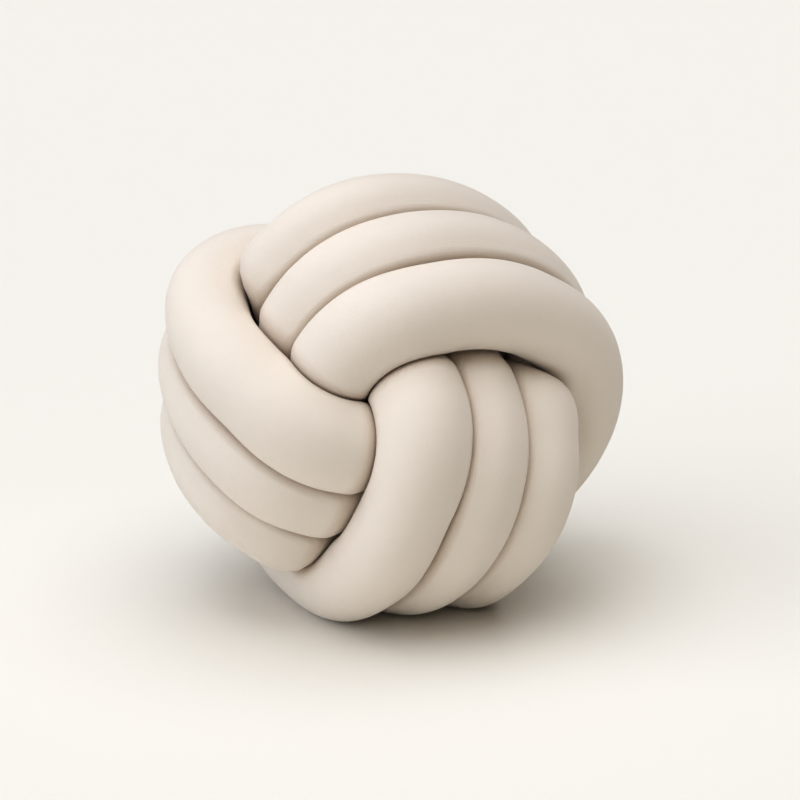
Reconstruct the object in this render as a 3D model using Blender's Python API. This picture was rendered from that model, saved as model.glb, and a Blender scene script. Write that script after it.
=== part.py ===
# Knot cushion: one long stuffed tube, joined end to end, tied three times round the same
# three-lobed knot so that it packs into a ball.  The far ends of the passes, the places where
# the tube moves over from one pass to the next, and the join are all on the back.
import math

import bpy
import numpy as np

# ---------------------------------------------------------------- driving sizes, metres
TUBE_DIAMETER = 0.0515     # the stuffed tube where nothing presses on it
PASS_GAP = 0.0024          # clearance left between neighbouring passes
FLAT_DEPTH = 0.0080        # how far the ball's underside is pressed flat where it stands
SECTIONS = 306             # rings along the tube
SIDES = 16                 # points round each ring

# ---------------------------------------------------------------- the knot, in tube diameters
BALL_RADIUS = 2.064        # mean distance of the tube's middle line from the ball's middle
OVER_UNDER = 0.736         # how far a pass rises over, and dips under, the pass it crosses
POLE_RISE = 0.241          # how far the passes stand out round the two three-cornered eyes
CROSS_TRIM = 0.038         # small third wave that flattens the top of each crossing
PASS_SPACING = 0.897       # sideways distance from one pass to the next
SPACING_POLE = -0.017      # change of that spacing at the eyes
SPACING_CROSS = 0.109      # change of that spacing where the passes go under
SPACING_BACK = 0.100       # change of that spacing round the back eye
MIDDLE_DROP = -0.078       # the middle pass lies this much lower than the two beside it
EDGE_TIP = -0.110          # the band of three tips over by this much at the eyes

# ---------------------------------------------------------------- the knot, degrees
SWING = 49.86              # how far the middle line swings to each side of the ball's waist
SWING_EVEN = 1.64          # extra swing toward the front eye
SWING_THIRD = -5.01        # third wave of the swing
CURL = 6.16                # how much the passes curl round the lobes
TURN = 20.75               # how far the front eye is turned against the back one

# ---------------------------------------------------------------- change from pass to pass
SHIFT_AT = 0.75            # where the tube moves over one pass, in half waves after the eye
JOIN_AT = 0.91             # where the join crosses under the band, in half waves after the eye
SHIFT_LENGTH = 0.55        # length of that move, half waves
JOIN_LENGTH = 0.85         # length of the join under the other two passes, half waves
JOIN_WIDE = 1.4            # the dip of the join is longer than the join by this factor
JOIN_DROP = 1.15           # how far inside the ball the join runs, tube diameters

# ---------------------------------------------------------------- how the stuffing gives
BEND_REACH = 0.40          # the tube cannot bend sharper than about this, tube diameters
PASS_ROOM = 0.84           # middle lines of neighbouring passes stay this far apart
PUSH_STEPS = 60
PULL_IN = 0.0060           # each step the cover also draws the ball in by this much
SECTION_AREA = 0.25 * math.pi    # of the stuffed tube's section, square tube diameters
FREE_RADIUS = (0.44, 0.60)       # least and greatest radius of the round part of a section
TIGHT_BEND = 0.52                # the inside of a bend stays this share of its radius
CONTACT_SOFT = 0.05              # roundness of the edge between free and pressed fabric
LEAST_RADIUS = 0.10              # a section is nowhere thinner than this from its middle

# ---------------------------------------------------------------- how the ball lies
LEAN = (-0.45, -4.48, -20.44)    # turns about x, y and z, degrees
VIEW_RISE = 16.0                 # the front eye looks up by this much, degrees
SAG = dict(wide=0.013, skew=-0.028, pear_x=0.068, fan_x=0.018, pear_y=0.013, fan_y=-0.017)

FABRIC = dict(colour=(0.76, 0.68, 0.58, 1.0), roughness=0.85, metallic=0.0)


def smooth_step(u):
    u = np.clip(u, 0.0, 1.0)
    return u * u * (3.0 - 2.0 * u)


def middle_line(wave):
    """Middle line of the band: swings north and south twice round the ball in three waves."""
    swing = np.radians(SWING) * np.cos(wave)
    swing = swing + np.radians(SWING_EVEN) * (1.0 + np.cos(2.0 * wave))
    swing = swing + np.radians(SWING_THIRD) * np.cos(3.0 * wave)
    polar = 0.5 * math.pi - swing
    turn = wave / 1.5 + np.radians(CURL) * np.sin(2.0 * wave) + np.radians(TURN) * np.cos(wave)
    radius = BALL_RADIUS - OVER_UNDER * np.sin(wave) + POLE_RISE * np.cos(wave) ** 2
    radius = radius - CROSS_TRIM * np.sin(3.0 * wave)
    direction = np.stack([np.sin(polar) * np.cos(turn), np.sin(polar) * np.sin(turn), np.cos(polar)], -1)
    return direction, radius


def unit(rows):
    return rows / np.linalg.norm(rows, axis=-1, keepdims=True)


def tube_line(wave):
    """Middle line of the tube itself: three trips round, each one pass further over."""
    start = SHIFT_AT * math.pi
    trip = 6.0 * math.pi
    half = 0.5 * SHIFT_LENGTH * math.pi
    gone = (wave - start) % (3.0 * trip)
    lane = 1.0 - smooth_step((gone - trip + half) / (2.0 * half))
    lane = lane - smooth_step((gone - 2.0 * trip + half) / (2.0 * half))
    reach = 0.5 * JOIN_LENGTH * math.pi
    from_join = (wave - JOIN_AT * math.pi + 1.5 * trip) % (3.0 * trip) - 1.5 * trip
    lane_join = 2.0 * smooth_step((from_join + reach) / (2.0 * reach)) - 1.0
    near_join = np.abs(from_join) < reach
    lane = np.where(near_join, lane_join, lane)
    sunk = JOIN_DROP * (1.0 - smooth_step(np.abs(from_join) / (JOIN_WIDE * reach)))
    direction, radius = middle_line(wave)
    ahead, radius_ahead = middle_line(wave + 0.001)
    behind, radius_behind = middle_line(wave - 0.001)
    along = unit(ahead * radius_ahead[:, None] - behind * radius_behind[:, None])
    left = unit(np.cross(direction, along))
    spacing = PASS_SPACING + SPACING_POLE * np.cos(2.0 * wave) + SPACING_CROSS * np.sin(wave)
    spacing = spacing + 0.5 * SPACING_BACK * (1.0 - np.cos(wave))
    radius = radius + lane * EDGE_TIP * np.cos(wave) + MIDDLE_DROP * (1.0 - lane * lane) * (sunk < 0.01)
    moved = unit(direction * radius[:, None] + left * (lane * spacing)[:, None])
    return moved * (radius - sunk)[:, None]


def turn_about(axis, degrees):
    c = math.cos(math.radians(degrees))
    s = math.sin(math.radians(degrees))
    if axis == "x":
        return np.array([[1, 0, 0], [0, c, -s], [0, s, c]])
    if axis == "y":
        return np.array([[c, 0, s], [0, 1, 0], [-s, 0, c]])
    return np.array([[c, -s, 0], [s, c, 0], [0, 0, 1]])


def settled(points):
    """Turn the ball to the way it lies and let its weight pull it a little out of round."""
    turned = points @ (turn_about("x", LEAN[0]) @ turn_about("y", LEAN[1]) @ turn_about("z", LEAN[2])).T
    x, y, z = turned.T
    fan = x * x - y * y
    across = x * (1 + SAG["wide"]) + y * SAG["skew"] + SAG["pear_x"] * x * y + SAG["fan_x"] * fan
    upward = y * (1 - SAG["wide"]) + x * SAG["skew"] + SAG["pear_y"] * x * y + SAG["fan_y"] * fan
    c = math.cos(math.radians(VIEW_RISE))
    s = math.sin(math.radians(VIEW_RISE))
    return np.stack([across, upward * s - z * c, upward * c + z * s], -1)


def evenly_spaced(points, count):
    closed = np.vstack([points, points[:1]])
    length = np.concatenate([[0.0], np.cumsum(np.linalg.norm(np.diff(closed, axis=0), axis=1))])
    at = np.linspace(0.0, length[-1], count + 1)[:-1]
    return np.stack([np.interp(at, length, closed[:, k]) for k in range(3)], -1), length[-1]


def eased(rows, length, reach):
    """Smooth the rows along the closed tube: nothing bends sharper than about the reach."""
    wave_number = 2.0 * math.pi * np.arange(len(rows) // 2 + 1) / length
    kept = np.exp(-0.5 * (wave_number * reach) ** 2)
    return np.fft.irfft(np.fft.rfft(rows, axis=0) * kept[:, None], len(rows), axis=0)


def pushed_apart(line, length):
    """The stuffing presses neighbouring passes apart until each has room."""
    count = len(line)
    number = np.arange(count)
    along = np.abs(number[:, None] - number)
    along = np.minimum(along, count - along) * (length / count)
    for _ in range(PUSH_STEPS):
        between = line[:, None] - line
        distance = np.linalg.norm(between, axis=-1) + 1e-9
        short = np.where(along > 1.5, np.maximum(PASS_ROOM - distance, 0.0), 0.0)
        push = (between / distance[:, :, None] * short[:, :, None]).sum(axis=1)
        touching = np.maximum((short > 0.0).sum(axis=1), 1)
        line = line + eased(0.5 * push / touching[:, None], length, BEND_REACH)
        line = line - PULL_IN * unit(line - line.mean(axis=0))
    return line


def room_round(line, rays, length):
    """Distance from the middle line, along each ray, to half way to any other pass."""
    count = len(line)
    step = length / count
    number = np.arange(count)
    room = np.full(rays.shape[:2], 9.0)
    for row in range(count):
        apart = np.abs(number - row)
        apart = np.minimum(apart, count - apart) * step
        other = line[apart > 1.3] - line[row]
        other = other[np.einsum("ij,ij->i", other, other) < 6.0]
        facing = np.maximum(other @ rays[row].T, 1e-6)
        half_way = np.einsum("ij,ij->i", other, other)[:, None] / (2.0 * facing)
        room[row] = np.minimum(room[row], half_way.min(axis=0))
    return room


def rings_round(line, length, gap):
    """Rings of the tube: round where free, pressed flat where it lies against another pass."""
    along = unit(np.roll(line, -1, axis=0) - np.roll(line, 1, axis=0))
    middle = line.mean(axis=0)
    outward = line - middle
    outward = unit(outward - along * np.einsum("ij,ij->i", outward, along)[:, None])
    side = np.cross(along, outward)
    angle = np.arange(SIDES) * 2.0 * math.pi / SIDES
    rays = outward[:, None] * np.cos(angle)[:, None] + side[:, None] * np.sin(angle)[:, None]
    room = room_round(line, rays, length) - 0.5 * gap
    bend = (np.roll(along, -1, axis=0) - np.roll(along, 1, axis=0)) * (0.5 * len(line) / length)
    inward = np.maximum(np.einsum("ijk,ik->ij", rays, bend), 1e-6)
    room = np.minimum(room, TIGHT_BEND / inward)
    low = np.full(len(line), FREE_RADIUS[0])
    high = np.full(len(line), FREE_RADIUS[1])
    for _ in range(20):
        radius = 0.5 * (low + high)
        spare = room - radius[:, None]
        reach = radius[:, None] + 0.5 * (spare - np.sqrt(spare * spare + CONTACT_SOFT ** 2))
        reach = np.maximum(np.minimum(reach, room), LEAST_RADIUS)
        area = 0.5 * (reach * np.roll(reach, 1, axis=1)).sum(axis=1) * math.sin(2.0 * math.pi / SIDES)
        too_big = area > SECTION_AREA
        high = np.where(too_big, radius, high)
        low = np.where(too_big, low, radius)
    return line[:, None] + rays * reach[:, :, None]


def build_tube():
    wave = np.linspace(0.0, 18.0 * math.pi, 7201)[:-1]
    line, length = evenly_spaced(settled(tube_line(wave)), SECTIONS)
    line = pushed_apart(eased(line, length, BEND_REACH), length)
    line, length = evenly_spaced(eased(line, length, BEND_REACH), SECTIONS)
    rings = rings_round(line, length, PASS_GAP / TUBE_DIAMETER) * TUBE_DIAMETER
    low = rings[:, :, 2].min() + FLAT_DEPTH
    rings[:, :, 2] = np.maximum(rings[:, :, 2], low) - low
    box_middle = 0.5 * (rings.reshape(-1, 3).max(axis=0) + rings.reshape(-1, 3).min(axis=0))
    rings[:, :, 0] -= box_middle[0]
    rings[:, :, 1] -= box_middle[1]
    index = np.arange(SECTIONS * SIDES).reshape(SECTIONS, SIDES)
    ahead = np.roll(index, -1, axis=0)
    faces = np.stack([index, np.roll(index, -1, axis=1), np.roll(ahead, -1, axis=1), ahead], -1)
    mesh = bpy.data.meshes.new("knot_tube")
    mesh.from_pydata(rings.reshape(-1, 3).tolist(), [], faces.reshape(-1, 4).tolist())
    mesh.update()
    tube = bpy.data.objects.new("knot_tube", mesh)
    bpy.context.scene.collection.objects.link(tube)
    return tube


def fabric_material():
    material = bpy.data.materials.new("peached_jersey")
    material.use_nodes = True
    shader = material.node_tree.nodes["Principled BSDF"]
    shader.inputs["Base Color"].default_value = FABRIC["colour"]
    shader.inputs["Roughness"].default_value = FABRIC["roughness"]
    shader.inputs["Metallic"].default_value = FABRIC["metallic"]
    return material


for leftover in list(bpy.data.objects):
    bpy.data.objects.remove(leftover, do_unlink=True)

knot_tube = build_tube()
knot_tube.data.materials.append(fabric_material())
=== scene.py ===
# %% [markdown]
# # A knot cushion
# The real object is one long stuffed tube of soft jersey, tied three times round the same
# three-lobed knot so that it packs into a ball.  This script makes its looks: the fabric tube
# pressed flat where its passes touch, the soft creases inside the bends, and the peached finish.
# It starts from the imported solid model, which fixes the size and the place of everything.

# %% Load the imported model
import math

import bpy
import numpy as np
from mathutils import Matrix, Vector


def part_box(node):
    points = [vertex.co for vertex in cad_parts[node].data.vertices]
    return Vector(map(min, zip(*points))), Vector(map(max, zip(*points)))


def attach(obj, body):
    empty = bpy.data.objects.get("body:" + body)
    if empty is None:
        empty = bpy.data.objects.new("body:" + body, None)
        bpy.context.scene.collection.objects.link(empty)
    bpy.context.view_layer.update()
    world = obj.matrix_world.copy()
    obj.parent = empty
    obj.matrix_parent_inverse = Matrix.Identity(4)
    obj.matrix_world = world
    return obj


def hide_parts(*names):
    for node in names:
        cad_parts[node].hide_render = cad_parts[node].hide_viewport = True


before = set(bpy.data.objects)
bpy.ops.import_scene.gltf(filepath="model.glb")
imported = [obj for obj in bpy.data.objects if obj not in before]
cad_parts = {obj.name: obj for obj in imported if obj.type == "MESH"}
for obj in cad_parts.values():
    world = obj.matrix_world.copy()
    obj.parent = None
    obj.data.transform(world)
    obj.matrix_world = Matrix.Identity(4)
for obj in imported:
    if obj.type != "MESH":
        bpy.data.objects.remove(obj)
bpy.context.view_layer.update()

# %% [markdown]
# ## Driving sizes
# The tube's route follows a rule, so a few sizes give all of it.  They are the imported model's own
# sizes, repeated here, because the solid is only facets and no longer knows its middle line.
# Lengths in the knot are counted in tube diameters, which keeps the numbers easy to judge.

# %% Driving sizes
TUBE_DIAMETER = 0.0515     # metres, where nothing presses on the tube
SECTIONS = 306             # stations along the middle line while the knot is pulled tight
RINGS = 1500               # rings of the finished fabric tube
SIDES = 60                 # points round each ring
FABRIC_GAP = 0.0006        # metres between two passes that touch
FLAT_DEPTH = 0.0080        # metres that the underside is pressed flat

BALL_RADIUS = 2.064        # mean distance of the middle line from the ball's middle
OVER_UNDER = 0.736         # rise over, and dip under, the pass that is crossed
POLE_RISE = 0.241          # how far the passes stand out round the two three-cornered eyes
CROSS_TRIM = 0.038         # small third wave that flattens the top of each crossing
PASS_SPACING = 0.897       # sideways distance from one pass to the next
SPACING_POLE = -0.017      # change of that spacing at the eyes
SPACING_CROSS = 0.109      # change of that spacing where the passes go under
SPACING_BACK = 0.100       # change of that spacing round the back eye
MIDDLE_DROP = -0.078       # the middle pass lies this much lower than the two beside it
EDGE_TIP = -0.110          # the band of three tips over by this much at the eyes

SWING = 49.86              # degrees that the middle line swings to each side of the waist
SWING_EVEN = 1.64          # extra swing toward the front eye
SWING_THIRD = -5.01        # third wave of the swing
CURL = 6.16                # degrees that the passes curl round the lobes
TURN = 20.75               # degrees that the front eye is turned against the back one

SHIFT_AT = 0.75            # where the tube moves over one pass, half waves after the eye
JOIN_AT = 0.91             # where the join crosses under the band, half waves after the eye
SHIFT_LENGTH = 0.55        # length of that move, half waves
JOIN_LENGTH = 0.85         # length of the join under the other two passes, half waves
JOIN_WIDE = 1.4            # the dip of the join is longer than the join by this factor
JOIN_DROP = 1.15           # how far inside the ball the join runs

BEND_REACH = 0.40          # the tube cannot bend sharper than about this
PASS_ROOM = 0.84           # middle lines of neighbouring passes stay this far apart
PUSH_FROM = 1.5            # passes push each other from this far along the tube
PUSH_STEPS = 60            # how many times they do
PULL_IN = 0.0060           # each step the cover also draws the ball in by this much

LEAN = (-0.45, -4.48, -20.44)    # turns about x, y and z, degrees
VIEW_RISE = 16.0                 # degrees that the front eye looks up
# how far the soft ball sags out of round: wider, skewed, pear-shaped and fanned out
SAG = dict(wide=0.013, skew=-0.028, pear_x=0.068, fan_x=0.018, pear_y=0.013, fan_y=-0.017)

# %% [markdown]
# ## The middle line
# A three-lobed knot drawn on a ball swings north and south three times while it goes twice round.
# Three passes lie side by side in one band, so the tube makes that trip three times and moves over
# by one pass after each.  The line is a formula in one parameter, the wave.


# %% The middle line of the band and of the tube
TRIP = 6.0 * math.pi       # the wave over one trip: three swings north and south
WHOLE_TUBE = 18.0 * math.pi      # the wave over all three trips
WAVE_STEPS = 7200          # points worked out along the whole tube
NEAR = 0.001               # a step of the wave that shows which way the line runs


def unit(rows):
    """Each row divided by its own length."""
    return rows / np.linalg.norm(rows, axis=-1, keepdims=True)


def smooth_step(u):
    """0 before 0, 1 after 1, and 3 u^2 - 2 u^3 between them."""
    u = np.clip(u, 0.0, 1.0)
    return u * u * (3.0 - 2.0 * u)


def middle_line(wave):
    """Band line: latitude a cos(w) + b (1 + cos 2w) + c cos 3w, longitude w / 1.5 plus a curl,
    radius R - h sin(w) + p cos(w)^2 - t sin 3w."""
    swing = np.radians(SWING) * np.cos(wave)
    swing = swing + np.radians(SWING_EVEN) * (1.0 + np.cos(2.0 * wave))
    swing = swing + np.radians(SWING_THIRD) * np.cos(3.0 * wave)
    polar = 0.5 * math.pi - swing
    turn = wave / 1.5 + np.radians(CURL) * np.sin(2.0 * wave) + np.radians(TURN) * np.cos(wave)
    radius = BALL_RADIUS - OVER_UNDER * np.sin(wave) + POLE_RISE * np.cos(wave) ** 2
    radius = radius - CROSS_TRIM * np.sin(3.0 * wave)
    east = np.sin(polar) * np.cos(turn)
    north = np.sin(polar) * np.sin(turn)
    return np.stack([east, north, np.cos(polar)], -1), radius


def tube_line(wave):
    """Tube line: the band line moved sideways by lane * spacing, where the lane steps from 1 to 0
    to -1 in three trips and the join brings it back to 1, sunk inside the ball."""
    half = 0.5 * SHIFT_LENGTH * math.pi
    gone = (wave - SHIFT_AT * math.pi) % WHOLE_TUBE
    lane = 1.0 - smooth_step((gone - TRIP + half) / (2.0 * half))
    lane = lane - smooth_step((gone - 2.0 * TRIP + half) / (2.0 * half))
    reach = 0.5 * JOIN_LENGTH * math.pi
    from_join = (wave - JOIN_AT * math.pi + 0.5 * WHOLE_TUBE) % WHOLE_TUBE - 0.5 * WHOLE_TUBE
    lane_join = 2.0 * smooth_step((from_join + reach) / (2.0 * reach)) - 1.0
    lane = np.where(np.abs(from_join) < reach, lane_join, lane)
    sunk = JOIN_DROP * (1.0 - smooth_step(np.abs(from_join) / (JOIN_WIDE * reach)))
    direction, radius = middle_line(wave)
    ahead, radius_ahead = middle_line(wave + NEAR)
    behind, radius_behind = middle_line(wave - NEAR)
    along = unit(ahead * radius_ahead[:, None] - behind * radius_behind[:, None])
    left = unit(np.cross(direction, along))
    spacing = PASS_SPACING + SPACING_POLE * np.cos(2.0 * wave) + SPACING_CROSS * np.sin(wave)
    spacing = spacing + 0.5 * SPACING_BACK * (1.0 - np.cos(wave))
    middle_pass = (1.0 - lane * lane) * (sunk < 0.01)
    radius = radius + lane * EDGE_TIP * np.cos(wave) + MIDDLE_DROP * middle_pass
    moved = unit(direction * radius[:, None] + left * (lane * spacing)[:, None])
    return moved * (radius - sunk)[:, None]


# %% [markdown]
# ## Settling and pulling tight
# The ball is turned to the way it lies and sags a little out of round.  Then the knot is pulled
# tight: passes that are too close push each other away while the cover draws everything inwards.
# A stuffed tube can't kink, so the line is smoothed along its length at every step.


# %% Settle the ball and pull the knot tight
def turn_about(axis, degrees):
    """Rotation matrix about one axis."""
    c = math.cos(math.radians(degrees))
    s = math.sin(math.radians(degrees))
    if axis == "x":
        return np.array([[1, 0, 0], [0, c, -s], [0, s, c]])
    if axis == "y":
        return np.array([[c, 0, s], [0, 1, 0], [-s, 0, c]])
    return np.array([[c, -s, 0], [s, c, 0], [0, 0, 1]])


def settled(points):
    """Turn by the lean, add small terms in x y and x^2 - y^2, then tip the front eye upwards."""
    lean = turn_about("x", LEAN[0]) @ turn_about("y", LEAN[1]) @ turn_about("z", LEAN[2])
    x, y, z = (points @ lean.T).T
    fan = x * x - y * y
    across = x * (1 + SAG["wide"]) + y * SAG["skew"] + SAG["pear_x"] * x * y + SAG["fan_x"] * fan
    upward = y * (1 - SAG["wide"]) + x * SAG["skew"] + SAG["pear_y"] * x * y + SAG["fan_y"] * fan
    c = math.cos(math.radians(VIEW_RISE))
    s = math.sin(math.radians(VIEW_RISE))
    return np.stack([across, upward * s - z * c, upward * c + z * s], -1)


def evenly_spaced(points, count):
    """The closed line again, with its points at equal steps along it, and its length."""
    closed = np.vstack([points, points[:1]])
    length = np.concatenate([[0.0], np.cumsum(np.linalg.norm(np.diff(closed, axis=0), axis=1))])
    at = np.linspace(0.0, length[-1], count + 1)[:-1]
    return np.stack([np.interp(at, length, closed[:, k]) for k in range(3)], -1), length[-1]


def eased(rows, length, reach):
    """Each wave of number k along the closed line is kept by exp(-(k reach)^2 / 2)."""
    wave_number = 2.0 * math.pi * np.arange(len(rows) // 2 + 1) / length
    kept = np.exp(-0.5 * (wave_number * reach) ** 2)
    return np.fft.irfft(np.fft.rfft(rows, axis=0) * kept[:, None], len(rows), axis=0)


def pushed_apart(line, length):
    """Points nearer than the pass room push each other away by half of what is missing."""
    count = len(line)
    number = np.arange(count)
    along = np.abs(number[:, None] - number)
    along = np.minimum(along, count - along) * (length / count)
    for _ in range(PUSH_STEPS):
        between = line[:, None] - line
        distance = np.linalg.norm(between, axis=-1) + 1e-9
        short = np.where(along > PUSH_FROM, np.maximum(PASS_ROOM - distance, 0.0), 0.0)
        push = (between / distance[:, :, None] * short[:, :, None]).sum(axis=1)
        touching = np.maximum((short > 0.0).sum(axis=1), 1)
        line = line + eased(0.5 * push / touching[:, None], length, BEND_REACH)
        line = line - PULL_IN * unit(line - line.mean(axis=0))
    return line


wave = np.linspace(0.0, WHOLE_TUBE, WAVE_STEPS + 1)[:-1]
line, length = evenly_spaced(settled(tube_line(wave)), SECTIONS)
line = pushed_apart(eased(line, length, BEND_REACH), length)
line, length = evenly_spaced(eased(line, length, BEND_REACH), SECTIONS)
print(f"one tube, {length * TUBE_DIAMETER:.2f} m long, {TUBE_DIAMETER * 1000:.0f} mm thick")

# %% [markdown]
# ## The fabric tube
# A stuffed tube is round where it is free and flat where it leans on its neighbour.  Two equal
# tubes share the space between them evenly, so the flat lies half way between their middle lines.
# Each ring therefore asks, along each of its rays, how far it is to half way to any other pass,
# and its radius is the softer of that and a round section.  The stuffing doesn't shrink: the round
# part of a squeezed ring grows until the section has its full area again.


# %% Rings of the tube
SECTION_AREA = 0.25 * math.pi     # of a ring, in square tube diameters
CONTACT_SOFT = 0.035              # roundness of the edge between free and pressed fabric
FILL = 0.6                        # share of a narrow gap that the fabric swells into
FILL_REACH = 0.13                 # gaps up to about this wide are filled so
NEIGHBOUR_FROM = 1.3              # passes count as neighbours from this far along the tube
NEIGHBOUR_SQUARE = 6.0            # and up to this distance squared
FAR = 9.0                         # the room where no neighbour is near
TIGHT_BEND = 0.52                 # the inside of a bend stays this share of its radius
FREE_RADIUS = (0.44, 0.60)        # least and most radius of a ring where it is free
LEAST_RADIUS = 0.10               # no ring is pressed in further than this
HALVINGS = 20                     # halvings of that span while the radius is sought
SMOOTH_ALONG = 0.05               # waves shorter than about 6 times this are lost
SMOOTH_ROUND = 0.07               # the same round the tube, in radians


def resampled(rows, count):
    """The same closed smooth rows at more stations, by adding empty waves to their spectrum."""
    waves = np.fft.rfft(rows, axis=0)
    more = np.zeros((count // 2 + 1, rows.shape[1]), complex)
    more[:len(waves)] = waves
    return np.fft.irfft(more, count, axis=0) * (count / len(rows))


def directions_round(points, sides):
    """Along the tube, and rays out of it at equal angles, the first pointing out of the ball."""
    along = unit(np.roll(points, -1, axis=0) - np.roll(points, 1, axis=0))
    outward = points - points.mean(axis=0)
    outward = unit(outward - along * np.einsum("ij,ij->i", outward, along)[:, None])
    side = np.cross(along, outward)
    angle = np.arange(sides) * 2.0 * math.pi / sides
    rays = outward[:, None] * np.cos(angle)[:, None] + side[:, None] * np.sin(angle)[:, None]
    return along, rays


def room_round(points, rays, length, block=50):
    """Smallest |d|^2 / (2 d.ray) over the other passes, d being the way to a point of theirs."""
    count = len(points)
    number = np.arange(count)
    room = np.full(rays.shape[:2], FAR)
    for first in range(0, count, block):
        rows = number[first:first + block]
        way = points[None, ::2] - points[rows, None]
        apart = np.abs(number[None, ::2] - rows[:, None])
        apart = np.minimum(apart, count - apart) * (length / count)
        square = np.einsum("ijk,ijk->ij", way, way)
        beside = (apart > NEIGHBOUR_FROM) & (square < NEIGHBOUR_SQUARE)
        square = np.where(beside, square, 1e6)
        facing = np.maximum(np.einsum("ijk,isk->ijs", way, rays[rows]), 1e-6)
        room[rows] = (square[:, :, None] / (2.0 * facing)).min(axis=1)
    return room


def bend_round(points, along, rays, length):
    """Curvature of the line along each ray: positive on the inside of a bend."""
    bend = (np.roll(along, -1, axis=0) - np.roll(along, 1, axis=0)) * (0.5 * len(points) / length)
    return np.einsum("ijk,ik->ij", rays, bend)


def ring_radius(room, bend):
    """Radius r + (s - sqrt(s^2 + e)) / 2 with s = room - r, where r gives the full area."""
    room = np.minimum(room, TIGHT_BEND / np.maximum(bend, 1e-6))
    turn = math.sin(2.0 * math.pi / room.shape[1])
    low = np.full(len(room), FREE_RADIUS[0])
    high = np.full(len(room), FREE_RADIUS[1])
    for _ in range(HALVINGS):
        radius = 0.5 * (low + high)
        spare = room - radius[:, None]
        reach = radius[:, None] + 0.5 * (spare - np.sqrt(spare * spare + CONTACT_SOFT ** 2))
        reach = np.maximum(np.minimum(reach, room), LEAST_RADIUS)
        area = 0.5 * (reach * np.roll(reach, 1, axis=1)).sum(axis=1) * turn
        too_big = area > SECTION_AREA
        high = np.where(too_big, radius, high)
        low = np.where(too_big, low, radius)
    return reach


def swelled(reach, room):
    """Radius plus f s exp(-(s / g)^2), s being the room left: only narrow gaps close."""
    spare = np.maximum(room - reach, 0.0)
    return reach + FILL * spare * np.exp(-(spare / FILL_REACH) ** 2)


def smoothed(field, length):
    """Waves (k, n) along and round the tube kept by exp(-((k a)^2 + (n b)^2) / 2)."""
    k = 2.0 * math.pi * np.fft.fftfreq(field.shape[0], length / field.shape[0])
    n = np.fft.rfftfreq(field.shape[1], 1.0 / field.shape[1])
    kept = np.exp(-0.5 * ((k[:, None] * SMOOTH_ALONG) ** 2 + (n[None, :] * SMOOTH_ROUND) ** 2))
    return np.fft.irfft2(np.fft.rfft2(field) * kept, field.shape)


points = resampled(line, RINGS)
along, rays = directions_round(points, SIDES)
room = room_round(points, rays, length) - 0.5 * FABRIC_GAP / TUBE_DIAMETER
bend = bend_round(points, along, rays, length)
reach = smoothed(swelled(ring_radius(room, bend), room), length)
print("ring radius", reach.min().round(3), "to", reach.max().round(3), "tube diameters")

# %% [markdown]
# ## Soft creases and uneven stuffing
# On the inside of a tight bend the cover has more cloth than it needs and gathers into short soft
# creases across the tube.  Loose fibre also leaves long shallow lumps.  Both are small changes of
# the rings' radius: sums of waves along and round the tube, the creases only where the bend is.

# %% Creases and lumps
LUMPS = dict(shortest=1.2, longest=4.0, count=14)       # waves, in tube diameters
LUMP_HEIGHT = 0.006        # tube diameters
CREASES = dict(shortest=0.16, longest=0.34, count=10)
CREASE_HEIGHT = 0.034      # tube diameters
CREASE_FROM = 0.75         # creases start where the bend is this tight, per tube diameter
CREASE_SPAN = 0.60         # and are full where it is tighter by this much
draw = np.random.default_rng(7)


def waves_over_tube(shape, length, shortest, longest, count):
    """Sum of count waves cos(k s + n a + phase), s along the tube and a round it."""
    s = np.arange(shape[0])[:, None] * (length / shape[0])
    a = np.arange(shape[1])[None, :] * (2.0 * math.pi / shape[1])
    total = np.zeros(shape)
    for _ in range(count):
        along_number = round(length / draw.uniform(shortest, longest))
        round_number = draw.integers(0, 4)
        phase = draw.uniform(0.0, 2.0 * math.pi)
        total += np.cos(2.0 * math.pi * along_number * s / length + round_number * a + phase)
    return total / math.sqrt(count)


lumps = waves_over_tube(reach.shape, length, **LUMPS)
ripple = waves_over_tube(reach.shape, length, **CREASES)
gathered = smooth_step((bend - CREASE_FROM) / CREASE_SPAN)
reach = np.minimum(reach + LUMP_HEIGHT * lumps + CREASE_HEIGHT * gathered * ripple, room)
print("creased share of the cover", (gathered > 0.1).mean().round(3))

# %% [markdown]
# ## The finished piece
# The rings become one closed skin with a seam-free grid of four-sided faces.  It is pressed flat
# underneath, stands where the imported solid stands, and carries two things for the finish: a UV map
# in metres of cloth, and how hard each spot is pressed into the crevices between passes, the mask
# of the painted shade there.


# %% Build the skin
ROUND_OVER = 0.0012        # metres over which the side turns into the flat underside
CREVICE_SHADE_WIDE = 0.14        # tube diameters of free room at which the painted shade of the crevices ends


def pressed_flat(height):
    """Softly the larger of the height and 0: (h + sqrt(h^2 + r^2)) / 2."""
    return 0.5 * (height + np.sqrt(height * height + ROUND_OVER * ROUND_OVER))


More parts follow.
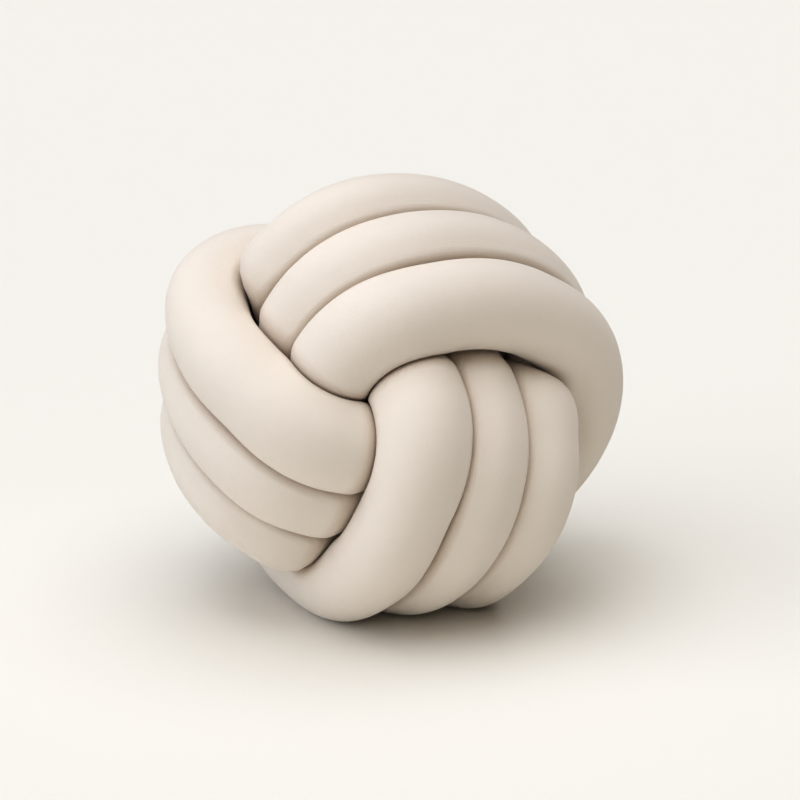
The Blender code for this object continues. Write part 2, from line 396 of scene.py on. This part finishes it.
def skin(name, rings, crevice_shade, length):
    """A closed grid of faces over the rings, with UVs in metres and a painted-shade attribute for
    the crevices.
    """
    count, sides = rings.shape[:2]
    index = np.arange(count * sides).reshape(count, sides)
    ahead = np.roll(index, -1, axis=0)
    faces = np.stack([index, np.roll(index, -1, axis=1), np.roll(ahead, -1, axis=1), ahead], -1)
    faces = faces.reshape(-1, 4)
    mesh = bpy.data.meshes.new(name)
    mesh.vertices.add(count * sides)
    mesh.vertices.foreach_set("co", rings.astype(np.float32).ravel())
    mesh.loops.add(faces.size)
    mesh.loops.foreach_set("vertex_index", faces.astype(np.int32).ravel())
    mesh.polygons.add(len(faces))
    mesh.polygons.foreach_set("loop_start", np.arange(0, faces.size, 4, dtype=np.int32))
    mesh.polygons.foreach_set("use_smooth", np.ones(len(faces), bool))
    mesh.update(calc_edges=True)
    row, column = np.divmod(np.arange(count * sides), sides)
    row = np.repeat(row, 4).reshape(-1, 4) + [0, 0, 1, 1]
    column = np.repeat(column, 4).reshape(-1, 4) + [0, 1, 1, 0]
    across = column / sides * math.pi * TUBE_DIAMETER
    uv = np.stack([row / count * length * TUBE_DIAMETER, across], -1)
    mesh.uv_layers.new(name="cloth").data.foreach_set("uv", uv.astype(np.float32).ravel())
    mesh.attributes.new("crevice_shade", "FLOAT", "POINT").data.foreach_set("value", crevice_shade.ravel())
    mesh.validate()
    piece = bpy.data.objects.new(name, mesh)
    bpy.context.scene.collection.objects.link(piece)
    return piece


rings = (points[:, None] + rays * reach[:, :, None]) * TUBE_DIAMETER
low = rings[:, :, 2].min() + FLAT_DEPTH
rings[:, :, 2] = pressed_flat(rings[:, :, 2] - low)
node_low, node_high = (np.array(corner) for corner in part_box("knot_tube"))
flat = rings.reshape(-1, 3)
move = 0.5 * (node_low + node_high) - 0.5 * (flat.min(axis=0) + flat.max(axis=0))
move[2] = node_low[2] - flat[:, 2].min()
rings += move
# painted shade: 1 where two passes press together, fading to 0 as free room opens between them
crevice_shade = 1.0 - smooth_step((room - reach) / CREVICE_SHADE_WIDE)
knot = skin("stuffed_tube", rings, crevice_shade.astype(np.float32), length)
print("stuffed_tube:", len(knot.data.polygons) * 2, "triangles")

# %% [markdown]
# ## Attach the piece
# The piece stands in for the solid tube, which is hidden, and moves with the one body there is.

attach(knot, "root")
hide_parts("knot_tube")

# %% [markdown]
# ## Peached jersey
# Fine cotton jersey whose face is brushed to a short nap: matt, pale and warm, with a faint bloom
# of light at grazing angles and hardly any visible knit; the colour is darkened down in the
# crevices as painted shade.  Colour comes from soft noise and that painted shade, the knit and the
# nap from bump, the bloom from sheen.


# %% A socket that does arithmetic
class Socket:
    """One output in a material's node tree; arithmetic on it adds Math nodes."""

    def __init__(self, tree, output=None):
        self.tree = tree
        self.output = output

    def node(self, kind, settings=None, inputs=None, output=0):
        """Add a node: its settings first, then values or links for its inputs."""
        made = self.tree.nodes.new(kind)
        for key, value in (settings or {}).items():
            setattr(made, key, value)
        for key, value in (inputs or {}).items():
            if isinstance(value, Socket):
                self.tree.links.new(value.output, made.inputs[key])
            else:
                made.inputs[key].default_value = value
        return Socket(self.tree, made.outputs[output])

    def maths(self, operation, first, second):
        return self.node("ShaderNodeMath", {"operation": operation}, {0: first, 1: second})

    def __add__(self, other):
        return self.maths("ADD", self, other)

    def __radd__(self, other):
        return self.maths("ADD", other, self)

    def __mul__(self, other):
        return self.maths("MULTIPLY", self, other)

    def __rmul__(self, other):
        return self.maths("MULTIPLY", other, self)


def mixed(factor, first, second):
    """Colour between two colours."""
    settings = {"data_type": "RGBA", "blend_type": "MIX"}
    return factor.node("ShaderNodeMix", settings, {0: factor, 6: first, 7: second}, output=2)


# %% The peached jersey
CREAM = (0.850, 0.777, 0.690, 1.0)
CREAM_WARM = (0.820, 0.740, 0.640, 1.0)
# painted shade: a dark warm cream that stands in for the shade down in the crevices
CREAM_PAINTED_SHADE = (0.500, 0.370, 0.265, 1.0)
CREVICE_SHADE_SHARE = 0.36       # share of the painted shade colour where two passes meet
WALE = 0.0009              # metres from one column of stitches to the next
COURSE = 0.0007            # metres from one row of stitches to the next
SLOW_SCALE = 22.0          # patches of the two creams, per metre
SPECK_SCALE = 900.0        # single fibres' colour and roughness
NAP_SCALE = 1500.0         # the brushed nap
FLUFF_SCALE = 260.0        # soft unevenness of the nap
NAP_DEPTH = 0.0006         # metres that the bump stands for


def peached_jersey():
    """Brushed jersey: two creams mixed by slow noise, painted shade in crevices, nap and knit as
    bump.
    """
    material = bpy.data.materials.new("peached_jersey_look")
    material.use_nodes = True
    tree = material.node_tree
    tree.nodes.clear()
    at = Socket(tree)
    place = at.node("ShaderNodeTexCoord", output="Object")
    cloth = at.node("ShaderNodeUVMap", {"uv_map": "cloth"})
    crevice_shade = at.node("ShaderNodeAttribute", {"attribute_name": "crevice_shade"}, output="Fac")
    slow_look = {"Vector": place, "Scale": SLOW_SCALE, "Detail": 3.0}
    slow = at.node("ShaderNodeTexNoise", inputs=slow_look)
    speck_look = {"Vector": place, "Scale": SPECK_SCALE, "Detail": 2.0}
    speck = at.node("ShaderNodeTexNoise", inputs=speck_look)
    cream = mixed(slow * 0.7 + speck * 0.3, CREAM, CREAM_WARM)
    # painted shade: the cream darkens toward that dark colour where passes press together
    colour = mixed(crevice_shade * CREVICE_SHADE_SHARE, cream, CREAM_PAINTED_SHADE)

    along_cloth = at.node("ShaderNodeSeparateXYZ", inputs={0: cloth}, output="X")
    across_cloth = at.node("ShaderNodeSeparateXYZ", inputs={0: cloth}, output="Y")
    sine = {"operation": "SINE"}
    columns = at.node("ShaderNodeMath", sine, {0: across_cloth * (2 * math.pi / WALE)})
    rows = at.node("ShaderNodeMath", sine, {0: along_cloth * (2 * math.pi / COURSE)})
    nap_look = {"Vector": place, "Scale": NAP_SCALE, "Detail": 4.0}
    nap = at.node("ShaderNodeTexNoise", inputs=nap_look)
    fluff_look = {"Vector": place, "Scale": FLUFF_SCALE, "Detail": 3.0}
    fluff = at.node("ShaderNodeTexNoise", inputs=fluff_look)
    height = nap * 0.6 + fluff * 0.5 + columns * 0.10 + rows * 0.06
    bump_look = {"Strength": 0.40, "Distance": NAP_DEPTH, "Height": height}
    bump = at.node("ShaderNodeBump", inputs=bump_look)

    look = {
        "Base Color": colour,
        "Roughness": 0.78 + 0.16 * speck,
        "Normal": bump,
        "Sheen Weight": 0.30,
        "Sheen Roughness": 0.55,
        "Sheen Tint": (1.0, 0.97, 0.93, 1.0),
        "Specular IOR Level": 0.25,
    }
    shader = at.node("ShaderNodeBsdfPrincipled", inputs=look)
    out = tree.nodes.new("ShaderNodeOutputMaterial")
    tree.links.new(shader.output, out.inputs["Surface"])
    return material


knot.data.materials.append(peached_jersey())
print("materials:", [slot.name for slot in knot.data.materials])

# %% [markdown]
# ## Studio
# A pale floor that runs out of sight under wide soft suns: a window high on the left, an even
# ceiling, a warmer light in front, a low cool one from the left side and a faint one behind.


# %% Floor
FLOOR_HALF = 12.0          # metres from the cushion to the floor's edge
FLOOR_PAINT = (0.866, 0.840, 0.774, 1.0)


def pale_floor():
    """One large square at the cushion's resting height, in a matt off-white."""
    side = FLOOR_HALF
    corners = [(-side, -side, 0.0), (side, -side, 0.0), (side, side, 0.0), (-side, side, 0.0)]
    mesh = bpy.data.meshes.new("pale_floor")
    mesh.from_pydata(corners, [], [(0, 1, 2, 3)])
    floor = bpy.data.objects.new("pale_floor", mesh)
    bpy.context.scene.collection.objects.link(floor)
    material = bpy.data.materials.new("floor_paint")
    material.use_nodes = True
    shader = material.node_tree.nodes["Principled BSDF"]
    shader.inputs["Base Color"].default_value = FLOOR_PAINT
    shader.inputs["Roughness"].default_value = 0.95
    shader.inputs["Specular IOR Level"].default_value = 0.0
    mesh.materials.append(material)
    return floor


pale_floor()
print("floor made")

# %% Light
SURROUND = (1.0, 0.96, 0.91, 1.0)
SURROUND_STRENGTH = 0.03   # as light on the cushion
SURROUND_SEEN = 0.82       # as the pale wall beyond the floor, where it is in view
VIEW_GAMMA = 0.83          # of the view; below 1 it deepens the shade a little
SPREAD = 65.0              # degrees across, so shadows stay soft
LIGHTS = (
    # name, way to the light as (left, front, up), strength, colour
    ("window", (0.8, 0.5, 1.0), 1.26, (0.96, 1.00, 1.10)),
    ("ceiling", (-0.1, 0.0, 1.0), 1.54, (0.99, 1.00, 1.04)),
    ("front", (-0.1, 0.7, 1.0), 0.52, (1.00, 0.90, 0.76)),
    ("side", (1.0, 0.35, 0.10), 0.76, (0.90, 1.00, 1.18)),
    ("rim_top", (0.0, -0.4, 1.0), 0.37, (0.97, 1.00, 1.06)),
)


def soft_sun(name, towards, strength, spread, colour):
    """A wide sun: towards is where its light comes from, as left, front and up."""
    lamp = bpy.data.lights.new(name, "SUN")
    lamp.energy = strength
    lamp.angle = math.radians(spread)
    lamp.color = colour
    source = bpy.data.objects.new(name, lamp)
    bpy.context.scene.collection.objects.link(source)
    left, front, up = towards
    flat_way = math.hypot(left, front)
    source.rotation_euler = (math.atan2(flat_way, up), 0.0, math.atan2(-left, front))
    return source


world = bpy.data.worlds.new("pale_surround")
bpy.context.scene.world = world
world.use_nodes = True
surround = world.node_tree.nodes["Background"]
surround.inputs["Color"].default_value = SURROUND
seen = Socket(world.node_tree).node("ShaderNodeLightPath", output="Is Camera Ray")
strength = seen * SURROUND_SEEN + SURROUND_STRENGTH
world.node_tree.links.new(strength.output, surround.inputs["Strength"])
for name, towards, strength, colour in LIGHTS:
    soft_sun(name, towards, strength, SPREAD, colour)
bpy.context.scene.view_settings.view_transform = "Standard"
bpy.context.scene.view_settings.gamma = VIEW_GAMMA
print("light made")

# %% Camera
CAMERA_AWAY = 24.7         # tube diameters from the ball's middle
LENS = 87.5                # millimetres
SENSOR = 36.0              # millimetres
FRAME_SHIFT = (0.0100, -0.0073)  # of the frame against the ball's middle, frame widths
middle = 0.5 * (points.min(axis=0) + points.max(axis=0)) * TUBE_DIAMETER
middle = middle + move - np.array([0.0, 0.0, low])
rise = math.radians(VIEW_RISE)
away = CAMERA_AWAY * TUBE_DIAMETER
camera_data = bpy.data.cameras.new("camera")
camera_data.lens = LENS
camera_data.sensor_width = SENSOR
camera_data.shift_x, camera_data.shift_y = FRAME_SHIFT
camera = bpy.data.objects.new("camera", camera_data)
camera.location = middle + away * np.array([0.0, -math.cos(rise), math.sin(rise)])
camera.rotation_euler = (0.5 * math.pi - rise, 0.0, 0.0)
bpy.context.scene.collection.objects.link(camera)
bpy.context.scene.camera = camera
print("camera at", [round(v, 3) for v in camera.location])
